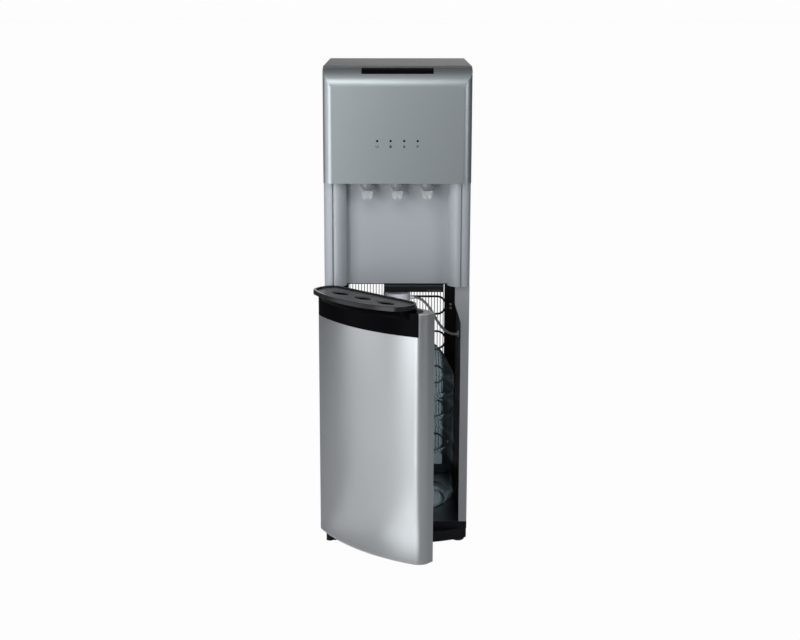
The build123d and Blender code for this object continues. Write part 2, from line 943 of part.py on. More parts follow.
def condenser_brackets():
    near = condenser_half + tube_radius
    face = depth - sheet
    hook_y = depth + tube_standoff + tube_radius
    brackets = []
    for side, z in bracket_places():
        low, high = z - bracket_half, z + bracket_half
        foot = block(near, near + bracket_width, face, face + bracket_thick, low, high)
        foot += block(near, near + bracket_thick, face, hook_y + bracket_thick, low, high)
        foot += block(near - bracket_hook / 2, near + bracket_thick, hook_y, hook_y + bracket_thick,
                      z - bracket_half / 2, z + bracket_half / 2)
        for dz in (-bracket_half / 2, bracket_half / 2):
            hole = (near + bracket_width / 2, face, z + dz)
            foot -= rod(screw_shank, hole, (0, 1, 0), bracket_thick)
        brackets.append(foot if side > 0 else mirrored(foot))
    return brackets


def screw_places():
    x = condenser_half + tube_radius + bracket_width / 2
    return [(side * x, z + dz) for side, z in bracket_places() for dz in (-bracket_half / 2, bracket_half / 2)]


def bracket_screws():
    """Domed screws put in from inside the compartment."""
    screws = []
    for x, z in screw_places():
        head = rod(screw_head, (x, rear_inner - screw_head_height, z), (0, 1, 0), screw_head_height)
        head = fillet(head.edges().group_by(Axis.Y)[0], screw_dome)
        shank = rod(screw_shank, (x, rear_inner, z), (0, 1, 0), sheet + bracket_thick)
        screws.append(head + shank)
    return screws


# Back fittings

def switch_centre_z():
    return deck_top + switch_z


def rocker_places():
    step = (rocker_width + rocker_gap) / 2
    return {"rocker_hot": switch_x - step, "rocker_cold": switch_x + step}


def rocker_pivot_y():
    return depth - sheet - rocker_sink


def switch_window(room):
    """Space that the switch body takes up in the back panel."""
    reach_x = rocker_width + rocker_gap / 2 + switch_frame_margin / 2 + room
    reach_z = rocker_height / 2 + switch_frame_margin / 2 + room
    back = rocker_pivot_y() - rocker_height / 2 - rocker_fit - wall
    z = switch_centre_z()
    return block(switch_x - reach_x, switch_x + reach_x, back, depth - sheet, z - reach_z, z + reach_z)


def switch_frame():
    reach_x = rocker_width + rocker_gap / 2 + switch_frame_margin
    reach_z = rocker_height / 2 + switch_frame_margin
    z = switch_centre_z()
    front = depth - sheet + switch_frame_thick
    frame = block(switch_x - reach_x, switch_x + reach_x, depth - sheet, front, z - reach_z, z + reach_z)
    frame = fillet(frame.edges().filter_by(Axis.Y), switch_frame_thick)
    frame += switch_window(0)
    pivot = rocker_pivot_y()
    half_x = rocker_width / 2 + rocker_fit
    half_z = rocker_height / 2 + rocker_fit
    for x in rocker_places().values():
        frame -= block(x - half_x, x + half_x, pivot - half_z, front, z - half_z, z + half_z)
        socket = (x - half_x - rocker_pivot, pivot, z)
        frame -= rod(rocker_pivot + rocker_pivot_fit, socket, (1, 0, 0), 2 * (half_x + rocker_pivot))
    return frame


def rocker(x):
    """Rocker with a hollowed face, its ends turned about the pivot."""
    reach = rocker_height / 2
    rise = reach * math.tan(math.radians(rocker_angle))
    profile = make_face(Polyline(
        (-reach, -reach), (rocker_sink + rise, -reach), (rocker_sink, 0), (rocker_sink + rise, reach),
        (-reach, reach), close=True))
    profile &= Circle(reach)
    side = Plane(origin=(x - rocker_width / 2, rocker_pivot_y(), switch_centre_z()),
                 x_dir=(0, 1, 0), z_dir=(1, 0, 0))
    body = extrude(side * profile, amount=rocker_width)
    length = rocker_width + 2 * (rocker_fit + rocker_pivot - seat_gap)
    body += rod(rocker_pivot, (x - length / 2, rocker_pivot_y(), switch_centre_z()), (1, 0, 0), length)
    pivot_line = Axis((x, rocker_pivot_y(), switch_centre_z()), (1, 0, 0))
    return body.rotate(pivot_line, -rocker_angle)


def cord_grommet():
    z = deck_top + entry_z
    outside = (entry_x, depth - sheet, z)
    grommet = rod(entry_flange, outside, (0, 1, 0), wall)
    grommet += rod(entry_body, (entry_x, rear_inner, z), (0, 1, 0), sheet)
    grommet += rod(entry_flange, (entry_x, rear_inner - wall, z), (0, 1, 0), wall)
    return grommet - rod(entry_radius, (entry_x, rear_inner - wall, z), (0, 1, 0), sheet + 2 * wall)


def drain_cap():
    """Screw cap of the tank drain, with a grooved grip."""
    z = deck_top + drain_z
    grip = rod(drain_radius, (drain_x, depth - sheet, z), (0, 1, 0), drain_length)
    grip = fillet(grip.edges().group_by(Axis.Y)[-1], drain_grip)
    for i in range(drain_grips):
        angle = 2 * math.pi * i / drain_grips
        groove = (drain_x + drain_radius * math.cos(angle), depth - sheet + wall,
                  z + drain_radius * math.sin(angle))
        grip -= rod(drain_grip, groove, (0, 1, 0), drain_length)
    return grip + rod(drain_radius / 2, (drain_x, rear_inner - wall, z), (0, 1, 0), sheet + wall)


# Door

def door_outline():
    knuckle = hinge_inset * math.sqrt(0.5)
    edges = [
        Line((hinge_x, -door_gap), (half, -door_gap)),
        Line((half, -door_gap), (half, -door_side)),
        ThreePointArc((half, -door_side), (0, -door_side - door_bow), (-half, -door_side)),
        Line((-half, -door_side), (-half, hinge_y)),
        ThreePointArc((-half, hinge_y), (hinge_x - knuckle, hinge_y + knuckle), (hinge_x, -door_gap)),
    ]
    face = make_face(edges)
    front = [v for v in face.vertices() if abs(v.Y + door_side) < 0.01]
    face = fillet(front, door_corner)
    rear = [v for v in face.vertices() if v.X > half - 0.01 and abs(v.Y + door_gap) < 0.01]
    return fillet(rear, door_free_corner)


def door_front_sag(reach):
    """How far the door's front falls back at a distance from its middle."""
    radius = (half ** 2 + door_bow ** 2) / (2 * door_bow)
    return radius - math.sqrt(radius ** 2 - reach ** 2)


def door_skin():
    low = door_bottom + cap_flange
    high = door_top - cap_flange
    outline = door_outline()
    skin = raised(outline, low, high) - raised(offset(outline, -sheet), low, high)
    skin -= block(-half + skin_return_hinge, half - skin_return_free,
                  -door_gap - sheet, -door_gap, low, high)
    skin -= block(-apron_half, apron_half, -door_side - door_bow, -door_side / 2, apron_bottom, high)
    return skin


def door_liner():
    low = door_bottom + cap_flange + cap_plug + seat_gap
    high = door_top - cap_flange - cap_plug - seat_gap
    rear = -door_gap - sheet
    panel = block(hinge_x + door_gap, half - sheet - door_free_corner, rear - wall, rear, low, high)
    middle = (skin_return_hinge - skin_return_free) / 2
    height = high - low - liner_channel_width
    channel = RectangleRounded(liner_channel_width, height, liner_channel_width / 4)
    for i in (-1, 0, 1):
        place = Plane(origin=(middle + i * liner_channel_pitch, rear, (low + high) / 2),
                      x_dir=(1, 0, 0), z_dir=(0, -1, 0))
        panel -= extrude(place * channel, amount=liner_channel)
    return panel


def door_cap(low, high, plug_low, plug_high):
    """End cap: a flange flush with the skin and a plug ring inside it."""
    outline = door_outline()
    cap = raised(outline, low, high)
    outer = offset(outline, -sheet - seat_gap)
    ring = outer - offset(outline, -sheet - seat_gap - wall)
    ring += outer & (Pos(hinge_x, hinge_y) * Circle(hinge_inset + wall))
    cap += raised(ring, plug_low, plug_high)
    bush = (hinge_x, hinge_y, min(low, plug_low))
    return cap - rod(pin_radius + pin_fit + bush_wall, bush, (0, 0, 1), cap_flange + cap_plug)


def door_cap_bottom():
    seat = door_bottom + cap_flange
    return door_cap(door_bottom, seat, seat, seat + cap_plug)


def strike_zone():
    x0, z0 = magnet_x - magnet_width / 2, magnet_z() - magnet_height / 2
    return block(x0 - strike_margin, x0 + magnet_width + strike_margin, -door_gap - strike_thick, -door_gap,
                 z0 - strike_margin, z0 + magnet_height + strike_margin)


def door_cap_top():
    seat = door_top - cap_flange
    cap = door_cap(seat, door_top, seat - cap_plug, seat)
    cap -= raised(apron_plan(apron_fit), seat - cap_plug, door_top)
    pad = strike_zone()
    box = pad.bounding_box()
    backing = block(box.min.X - wall, box.max.X + wall, -door_gap - sheet - seat_gap - wall, -door_gap,
                    seat - cap_plug, seat)
    return cap + backing - pad


def door_strike():
    return strike_zone()


def door_bushes():
    ring = Circle(pin_radius + pin_fit + bush_wall) - Circle(pin_radius + pin_fit)
    length = cap_flange + cap_plug
    bush = Pos(hinge_x, hinge_y) * ring
    return [raised(bush, door_bottom, door_bottom + length), raised(bush, door_top - length, door_top)]


def hinge_bracket():
    """Upper hinge: a plate under the alcove with its pin, and a leg on the side panel."""
    low = door_top + hinge_plate_gap
    high = low + hinge_plate
    plate = raised(Pos(hinge_x, hinge_y) * Circle(hinge_inset), low, high)
    plate += block(-half + sheet, hinge_x + hinge_inset, hinge_y, hinge_leg, low, high)
    leg = block(-inner_half, -inner_half + hinge_plate, upper_setback, hinge_leg, low - hinge_leg, high)
    pin = rod(pin_radius, (hinge_x, hinge_y, low), (0, 0, -1), hinge_plate_gap + pin_reach)
    return plate + leg + pin


def hinge_pin():
    """Lower hinge: pin in the base's ear, with a collar that carries the door."""
    low = lip_top - pin_reach
    pin = rod(pin_radius, (hinge_x, hinge_y, low), (0, 0, 1), door_bottom + pin_reach - low)
    collar = door_bottom - seat_gap - lip_top
    return pin + rod(hinge_inset - wall, (hinge_x, hinge_y, lip_top), (0, 0, 1), collar)


# Drip apron, tray and grille

def tray_section(z, reach, back, front, sag, corner, back_corner):
    """Bow-fronted outline with rounded corners at one height."""
    edges = [
        Line((-reach, -back), (reach, -back)),
        Line((reach, -back), (reach, sag - front)),
        ThreePointArc((reach, sag - front), (0, -front), (-reach, sag - front)),
        Line((-reach, sag - front), (-reach, -back)),
    ]
    face = make_face(edges)
    fore = [v for v in face.vertices() if v.Y < -back - 1]
    face = fillet(fore, corner)
    rear = [v for v in face.vertices() if abs(v.Y + back) < 0.01]
    return Pos(0, 0, z) * fillet(rear, back_corner)


def apron_back():
    return tray_back - tray_fit - apron_wall


def lip_section(z, inset):
    """Outline of the tray's rim, drawn in by an inset."""
    return tray_section(z, tray_half - inset, tray_back + inset, tray_front - inset, tray_sag,
                        tray_corner - inset, max(tray_back_corner - inset, 1.0))


def basin_form(grow):
    """Tapering tub under the rim, grown for its pocket or shrunk for its inside."""
    floor = lip_bottom - tray_depth - grow
    foot = tray_section(floor, tray_floor_half + grow, tray_back - grow + tray_rim_step,
                        tray_floor_front + grow, tray_floor_sag, tray_floor_corner, tray_floor_corner)
    inset = tray_rim_step - grow
    return loft([foot, lip_section(lip_bottom, inset)], ruled=True)


def apron_plan(room):
    """Outline of the pocket that the apron's top fills, its rear corners clear of the hinge."""
    reach = apron_half - apron_fit + room
    back = apron_back() - room
    front = door_side + door_bow
    face = Pos(0, -(back + front) / 2) * Rectangle(2 * reach, front - back)
    rear = [v for v in face.vertices() if abs(v.Y + back) < 0.01]
    return fillet(rear, apron_corner + room)


def drip_apron():
    """Glossy fascia let into the door, flaring out under the tray's rim."""
    reach = apron_half - apron_fit
    low = apron_bottom + apron_fit
    outline = door_outline()
    fascia = raised(outline, low, flare_bottom) - raised(offset(outline, -apron_wall), low, flare_bottom)
    fascia &= block(-reach, reach, -door_side - door_bow, -door_side / 2, low, flare_bottom)
    crown = raised(outline & apron_plan(0), flare_bottom, door_top)
    rim = tray_rim_step / 2
    flare_half = tray_half - rim
    front = door_side + door_bow - apron_fit
    sag = door_front_sag(flare_half)
    back_corner = tray_back_corner - rim
    middle = (flare_bottom + lip_bottom) / 2
    flare = loft([
        tray_section(flare_bottom, flare_half, apron_back(), front, sag, apron_wall, back_corner),
        tray_section(middle, flare_half, apron_back(), front + flare_cove * (tray_front - front),
                     sag + flare_cove * (tray_sag - sag), tray_corner / 2, back_corner),
        tray_section(lip_bottom, flare_half, apron_back(), tray_front - rim, tray_sag,
                     tray_corner - rim, back_corner),
    ])
    return fascia + crown + flare - basin_form(tray_fit)


def drip_tray():
    rim = raised(lip_section(0, 0), lip_bottom, tray_top)
    rim = fillet(rim.edges().group_by(Axis.Z)[-1], tray_wall / 2)
    tray = basin_form(0) + rim
    ledge = tray_top - grille_sink - grille_thick
    inset = tray_rim_step + tray_wall
    tray -= basin_form(-tray_wall)
    tray -= raised(lip_section(0, inset), lip_bottom, ledge)
    tray -= raised(lip_section(0, inset - grille_ledge), ledge, tray_top)
    return tray


def eye_face():
    """Pointed oval cut through the grille under a tap."""
    return make_face([
        ThreePointArc((-eye_half_width, 0), (0, eye_back), (eye_half_width, 0)),
        ThreePointArc((eye_half_width, 0), (0, -eye_front), (-eye_half_width, 0)),
    ])


def drip_grille():
    ledge = tray_top - grille_sink - grille_thick
    inset = tray_rim_step + tray_wall - grille_ledge + grille_fit
    plate = raised(lip_section(0, inset), ledge, ledge + grille_thick)
    plate = fillet(plate.edges().group_by(Axis.Z)[-1], grille_fit)
    for i in (-1, 0, 1):
        plate -= raised(Pos(i * eye_pitch, eye_y) * eye_face(), ledge, ledge + grille_thick)
    reach = eye_pitch + eye_half_width
    top_edges = plate.edges().group_by(Axis.Z)[-1]
    brims = [e for e in top_edges if abs(e.center().X) < reach and abs(e.center().Y - eye_y) <= eye_back]
    return chamfer(brims, eye_chamfer)


# Catch

def magnet_z():
    return deck_bottom - catch_height + strike_margin + magnet_height / 2


def magnet_zone():
    z = magnet_z()
    return block(magnet_x - magnet_width / 2, magnet_x + magnet_width / 2, catch_front - magnet_proud,
                 catch_front + magnet_height, z - magnet_height / 2, z + magnet_height / 2)


def catch_housing():
    low = deck_bottom - catch_height
    right = magnet_x + catch_margin
    body = block(right - catch_width, right, catch_front, catch_front + catch_depth, low, deck_bottom)
    return body - magnet_zone()


def write(name, shape):
    """Moves a piece to the shared frame and writes it."""
    pieces = shape if isinstance(shape, list) else [shape]
    moved = [Pos(0, -depth / 2, 0) * piece for piece in pieces]
    solids = [solid for piece in moved for solid in piece.solids()]
    export_step(solids[0] if len(solids) == 1 else Compound(children=solids), f"parts/{name}.step")


def main():
    os.makedirs("parts", exist_ok=True)
    cabinet = {
        "base_tray": base_tray(),
        "feet": feet(),
        "side_panel_left": mirrored(side_panel(door_top)),
        "side_panel_right": side_panel(alcove_bottom),
        "rear_frame": rear_frame(),
        "back_panel": back_panel(),
        "mid_deck": mid_deck(),
        "tank_shelf": tank_shelf(),
        "top_lid": top_lid(),
        "head_panel": head_panel(),
        "head_window": head_window(),
        "indicator_lenses": indicator_lenses(),
        "control_board": control_board(),
        "alcove_panel": alcove_panel(),
        "liner_left": mirrored(liner(door_top, False)),
        "liner_right": liner(deck_bottom, True),
        "tap_nuts": tap_nuts(),
        "tap_hoses": tap_hoses(),
        "cold_tank_jacket": cold_tank_jacket(),
        "hot_tank": hot_tank(),
        "heater_band": heater_band(),
        "compressor": compressor(),
        "compressor_grommets": compressor_grommets(),
        "water_pump": water_pump(),
        "riser_pipe": riser_pipe(),
        "hose_bulkhead": hose_bulkhead(),
        "suction_hose": suction_hose(),
        "bottle": bottle(),
        "probe_cap": probe_cap(),
        "dip_tube": dip_tube(),
        "condenser_tube": condenser_tube(),
        "condenser_wires": condenser_wires(),
        "condenser_brackets": condenser_brackets(),
        "bracket_screws": bracket_screws(),
        "hinge_bracket": hinge_bracket(),
        "hinge_pin": hinge_pin(),
        "catch_housing": catch_housing(),
        "catch_magnet": magnet_zone(),
        "switch_frame": switch_frame(),
        "cord_grommet": cord_grommet(),
        "drain_cap": drain_cap(),
    }
    for name, side in tap_sides.items():
        cabinet[f"tap_body_{name}"] = tap_body(side)
        cabinet[f"tap_lever_{name}"] = tap_lever(side)
    for name, x in rocker_places().items():
        cabinet[name] = rocker(x)
    door = {
        "door_skin": door_skin(),
        "door_liner": door_liner(),
        "door_cap_top": door_cap_top(),
        "door_cap_bottom": door_cap_bottom(),
        "door_bushes": door_bushes(),
        "door_strike": door_strike(),
        "drip_apron": drip_apron(),
        "drip_tray": drip_tray(),
        "drip_grille": drip_grille(),
    }
    for name, shape in cabinet.items():
        write(name, shape)
    for name, shape in door.items():
        pieces = shape if isinstance(shape, list) else [shape]
        write(name, [swung(piece) for piece in pieces])


main()
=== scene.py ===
import bpy
import bmesh
import math
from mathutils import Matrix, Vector


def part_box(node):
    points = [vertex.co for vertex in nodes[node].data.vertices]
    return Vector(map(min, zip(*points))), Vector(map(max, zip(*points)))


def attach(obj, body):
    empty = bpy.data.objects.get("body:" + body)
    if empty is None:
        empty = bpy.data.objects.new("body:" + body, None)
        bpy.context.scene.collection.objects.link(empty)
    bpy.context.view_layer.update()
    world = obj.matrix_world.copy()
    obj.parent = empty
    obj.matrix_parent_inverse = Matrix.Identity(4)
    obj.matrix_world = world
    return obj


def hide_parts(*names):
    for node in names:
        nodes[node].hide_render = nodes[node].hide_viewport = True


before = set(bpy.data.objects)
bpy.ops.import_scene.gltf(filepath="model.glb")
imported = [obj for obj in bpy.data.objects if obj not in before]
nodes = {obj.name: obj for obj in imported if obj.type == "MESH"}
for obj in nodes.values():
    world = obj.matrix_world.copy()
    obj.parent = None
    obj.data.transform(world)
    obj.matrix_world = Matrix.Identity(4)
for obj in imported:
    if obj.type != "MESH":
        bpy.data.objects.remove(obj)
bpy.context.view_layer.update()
scene = bpy.context.scene
print("frame loaded with", len(nodes), "nodes")

# camera, lights and floor

photoCamera = {
    "place": (-0.0077, -3.0868, 1.2),
    "tilt": 0.2165,          # radians below the horizon
    "yaw": 0.0085,
    "lens": 62.75,
    "shift": (0.0227, -0.03),
}

studio = {
    "floorRadius": 60.0,
    "floorSides": 96,
    "floorShade": (0.60, 0.60, 0.605),      # what the floor throws back at the object
    "floorRoughness": 0.8,
    "floorGlow": 0.975,       # share of plain white that the camera sees on the floor
    "skyShade": (0.78, 0.80, 0.83),
    "skyStrength": 0.10,
    "backShade": (0.985, 0.985, 0.985),
    "boxes": {
        # name: (place, aim, width, height, watts)
        "bandBox": ((-1.61, -1.83, 0.75), (0.0, -0.33, 0.55), 0.56, 1.9, 10.7),
        "leftBox": ((-2.10, -0.55, 0.80), (0.0, -0.25, 0.50), 1.4, 1.9, 8.3),
        "tailBox": ((-1.10, -2.50, 0.75), (0.0, -0.35, 0.50), 0.7, 1.5, 14.2),
        "frontBox": ((-0.10, -3.30, 1.40), (0.0, -0.10, 0.60), 0.8, 0.5, 0.8),
        "headStrip": ((-0.32, -0.95, 1.55), (0.0, -0.17, 0.98), 0.9, 0.3, 3.9),
        "topBox": ((-0.2, -1.1, 2.7), (0.0, -0.1, 0.6), 1.6, 1.6, 2.5),
        "rightBox": ((1.70, -1.65, 1.25), (0.0, -0.1, 0.75), 0.9, 1.1, 10.2),
        "bayStrip": ((0.03, -0.16, 0.535), (0.02, 0.0, 0.49), 0.12, 0.03, 0.1),   # lights the probe cap
        "backBox": ((0.5, 2.4, 1.3), (0.0, 0.2, 0.4), 1.8, 1.4, 14.0),
    },
    "cards": {
        # these lie on the floor and face up, name: (place, turn in degrees, width, length, watts)
        "tailCard": ((-0.40, -1.12, 0.012), -28.0, 0.32, 1.4, 1.24),
        "bandNear": ((-0.28, -0.77, 0.012), -46.0, 0.22, 0.75, 0.12),
        "bandFar": ((-1.00, -1.43, 0.012), -46.0, 0.44, 1.2, 0.85),
        "leftNear": ((-0.62, -0.62, 0.012), -84.3, 0.8, 0.8, 0.52),
        "leftFar": ((-1.60, -0.55, 0.012), -84.3, 0.9, 1.4, 0.84),
    },
}


def makeCamera(settings):
    data = bpy.data.cameras.new("photoCamera")
    data.lens = settings["lens"]
    data.shift_x, data.shift_y = settings["shift"]
    cam = bpy.data.objects.new("photoCamera", data)
    cam.location = settings["place"]
    cam.rotation_euler = (math.pi / 2 - settings["tilt"], 0, settings["yaw"])
    scene.collection.objects.link(cam)
    scene.camera = cam


def makeLamp(name, place, rotation, width, height, watts):
    data = bpy.data.lights.new(name, "AREA")
    data.shape = "RECTANGLE"
    data.size, data.size_y = width, height
    data.energy = watts
    lamp = bpy.data.objects.new(name, data)
    lamp.location = place
    lamp.rotation_euler = rotation
    lamp.visible_camera = False
    scene.collection.objects.link(lamp)


def makeLights(settings):
    for name, (place, aim, *rest) in settings["boxes"].items():
        toward = Vector(aim) - Vector(place)
        makeLamp(name, place, toward.to_track_quat("-Z", "Y").to_euler(), *rest)
    for name, (place, turn, *rest) in settings["cards"].items():
        makeLamp(name, place, (math.pi, 0, math.radians(turn)), *rest)


def makeSky(settings):
    world = bpy.data.worlds.new("studioSky")
    world.use_nodes = True
    tree = world.node_tree
    tree.nodes.clear()
    seen = tree.nodes.new("ShaderNodeLightPath")
    soft = tree.nodes.new("ShaderNodeBackground")
    soft.inputs["Color"].default_value = (*settings["skyShade"], 1)
    soft.inputs["Strength"].default_value = settings["skyStrength"]
    white = tree.nodes.new("ShaderNodeBackground")
    white.inputs["Color"].default_value = (*settings["backShade"], 1)
    pick = tree.nodes.new("ShaderNodeMixShader")
    out = tree.nodes.new("ShaderNodeOutputWorld")
    # the white backdrop also shows through clear plastic
    through = tree.nodes.new("ShaderNodeMath")
    through.operation = "MAXIMUM"
    tree.links.new(seen.outputs["Is Camera Ray"], through.inputs[0])
    tree.links.new(seen.outputs["Is Transmission Ray"], through.inputs[1])
    tree.links.new(through.outputs[0], pick.inputs[0])
    tree.links.new(soft.outputs[0], pick.inputs[1])
    tree.links.new(white.outputs[0], pick.inputs[2])
    tree.links.new(pick.outputs[0], out.inputs["Surface"])
    scene.world = world


def makeFloor(settings):
    mesh = bpy.data.meshes.new("studioFloor")
    bm = bmesh.new()
    bmesh.ops.create_circle(bm, cap_ends=True, segments=settings["floorSides"],
                            radius=settings["floorRadius"])
    bm.to_mesh(mesh)
    bm.free()
    floor = bpy.data.objects.new("studioFloor", mesh)
    scene.collection.objects.link(floor)
    mat = bpy.data.materials.new("studioFloor")
    mat.use_nodes = True
    tree = mat.node_tree
    matt = tree.nodes["Principled BSDF"]
    matt.inputs["Base Color"].default_value = (*settings["floorShade"], 1)
    matt.inputs["Roughness"].default_value = settings["floorRoughness"]
    white = tree.nodes.new("ShaderNodeEmission")
    seen = tree.nodes.new("ShaderNodeLightPath")
    share = tree.nodes.new("ShaderNodeMath")
    share.operation = "MULTIPLY"
    share.inputs[1].default_value = settings["floorGlow"]
    pick = tree.nodes.new("ShaderNodeMixShader")
    tree.links.new(seen.outputs["Is Camera Ray"], share.inputs[0])
    tree.links.new(share.outputs[0], pick.inputs[0])
    tree.links.new(matt.outputs[0], pick.inputs[1])
    tree.links.new(white.outputs[0], pick.inputs[2])
    tree.links.new(pick.outputs[0], tree.nodes["Material Output"].inputs["Surface"])
    mesh.materials.append(mat)


scene.view_settings.view_transform = "Standard"
makeCamera(photoCamera)
makeLights(studio)
makeSky(studio)
makeFloor(studio)
print("camera, lights and floor made")

# shared shader effects

grainLook = {
    "detail": 3.0,
    "driftScale": 9.0,       # slow change of gloss over a piece
    "driftDetail": 4.0,
}

flakeLook = {
    "driftScale": 5.0,
    "driftDetail": 3.0,
    "middle": 0.5,           # pigment that neither lightens nor darkens
}


def groupSockets(tree, inputs, outputs):
    for name, kind, value in inputs:
        made = tree.interface.new_socket(name, in_out="INPUT", socket_type=kind)
        made.default_value = value
    for name, kind in outputs:
        tree.interface.new_socket(name, in_out="OUTPUT", socket_type=kind)
    return tree.nodes.new("NodeGroupInput"), tree.nodes.new("NodeGroupOutput")


def linkUp(tree, pairs):
    for a, b in pairs:
        tree.links.new(a, b)


def makeGrainGroup(settings):
    # moulded grain: fine height, a little shade and gloss drift
    tree = bpy.data.node_groups.new("mouldGrain", "ShaderNodeTree")
    gin, gout = groupSockets(
        tree,
        [("Color", "NodeSocketColor", (0.5, 0.5, 0.5, 1)), ("Grain Scale", "NodeSocketFloat", 900.0),
         ("Shade Spread", "NodeSocketFloat", 0.08), ("Roughness", "NodeSocketFloat", 0.5),
         ("Gloss Spread", "NodeSocketFloat", 0.06)],
        [("Color", "NodeSocketColor"), ("Roughness", "NodeSocketFloat"), ("Height", "NodeSocketFloat")])
    coord = tree.nodes.new("ShaderNodeTexCoord")
    grain = tree.nodes.new("ShaderNodeTexNoise")
    grain.inputs["Detail"].default_value = settings["detail"]
    drift = tree.nodes.new("ShaderNodeTexNoise")
    drift.inputs["Scale"].default_value = settings["driftScale"]
    drift.inputs["Detail"].default_value = settings["driftDetail"]
    shade = tree.nodes.new("ShaderNodeMapRange")
    shade.inputs["To Min"].default_value = 1.0
    grow = tree.nodes.new("ShaderNodeMath")
    grow.operation = "MULTIPLY_ADD"
    low = tree.nodes.new("ShaderNodeMath")
    low.operation = "SUBTRACT"
    low.inputs[0].default_value = 1.0
    dark = tree.nodes.new("ShaderNodeMix")
    dark.data_type = "RGBA"
    dark.blend_type = "MULTIPLY"
    dark.inputs["Factor"].default_value = 1.0
    linkUp(tree, [
        (coord.outputs["Object"], grain.inputs["Vector"]),
        (coord.outputs["Object"], drift.inputs["Vector"]),
        (gin.outputs["Grain Scale"], grain.inputs["Scale"]),
        (gin.outputs["Shade Spread"], low.inputs[1]),
        (grain.outputs["Fac"], shade.inputs["Value"]),
        (low.outputs[0], shade.inputs["To Max"]),
        (gin.outputs["Color"], dark.inputs["A"]),
        (shade.outputs[0], dark.inputs["B"]),
        (dark.outputs["Result"], gout.inputs["Color"]),
        (drift.outputs["Fac"], grow.inputs[0]),
        (gin.outputs["Gloss Spread"], grow.inputs[1]),
        (gin.outputs["Roughness"], grow.inputs[2]),
        (grow.outputs[0], gout.inputs["Roughness"]),
        (grain.outputs["Fac"], gout.inputs["Height"]),
    ])
    return tree


def makeFlakeGroup(settings):
    # metallic flake: tiny cells of brighter and darker pigment
    tree = bpy.data.node_groups.new("metalFlake", "ShaderNodeTree")
    gin, gout = groupSockets(
        tree,
        [("Color", "NodeSocketColor", (0.6, 0.6, 0.6, 1)), ("Flake Scale", "NodeSocketFloat", 2600.0),
         ("Sparkle", "NodeSocketFloat", 0.1), ("Roughness", "NodeSocketFloat", 0.35),
         ("Gloss Spread", "NodeSocketFloat", 0.05)],
        [("Color", "NodeSocketColor"), ("Roughness", "NodeSocketFloat"), ("Height", "NodeSocketFloat")])
    coord = tree.nodes.new("ShaderNodeTexCoord")
    flake = tree.nodes.new("ShaderNodeTexVoronoi")
    drift = tree.nodes.new("ShaderNodeTexNoise")
    drift.inputs["Scale"].default_value = settings["driftScale"]
    drift.inputs["Detail"].default_value = settings["driftDetail"]
    split = tree.nodes.new("ShaderNodeSeparateColor")
    lift = tree.nodes.new("ShaderNodeMath")
    lift.operation = "MULTIPLY_ADD"
    lift.inputs[2].default_value = 1.0
    centre = tree.nodes.new("ShaderNodeMath")
    centre.operation = "SUBTRACT"
    centre.inputs[1].default_value = settings["middle"]
    tint = tree.nodes.new("ShaderNodeMix")
    tint.data_type = "RGBA"
    tint.blend_type = "MULTIPLY"
    tint.inputs["Factor"].default_value = 1.0
    grow = tree.nodes.new("ShaderNodeMath")
    grow.operation = "MULTIPLY_ADD"
    linkUp(tree, [
        (coord.outputs["Object"], flake.inputs["Vector"]),
        (coord.outputs["Object"], drift.inputs["Vector"]),
        (gin.outputs["Flake Scale"], flake.inputs["Scale"]),
        (flake.outputs["Color"], split.inputs[0]),
        (split.outputs[0], centre.inputs[0]),
        (centre.outputs[0], lift.inputs[0]),
        (gin.outputs["Sparkle"], lift.inputs[1]),
        (gin.outputs["Color"], tint.inputs["A"]),
        (lift.outputs[0], tint.inputs["B"]),
        (tint.outputs["Result"], gout.inputs["Color"]),
        (drift.outputs["Fac"], grow.inputs[0]),
        (gin.outputs["Gloss Spread"], grow.inputs[1]),
        (gin.outputs["Roughness"], grow.inputs[2]),
        (grow.outputs[0], gout.inputs["Roughness"]),
        (split.outputs[1], gout.inputs["Height"]),
    ])
    return tree


mouldGrain = makeGrainGroup(grainLook)
metalFlake = makeFlakeGroup(flakeLook)
print("shader groups made")

# finishes, one entry for each

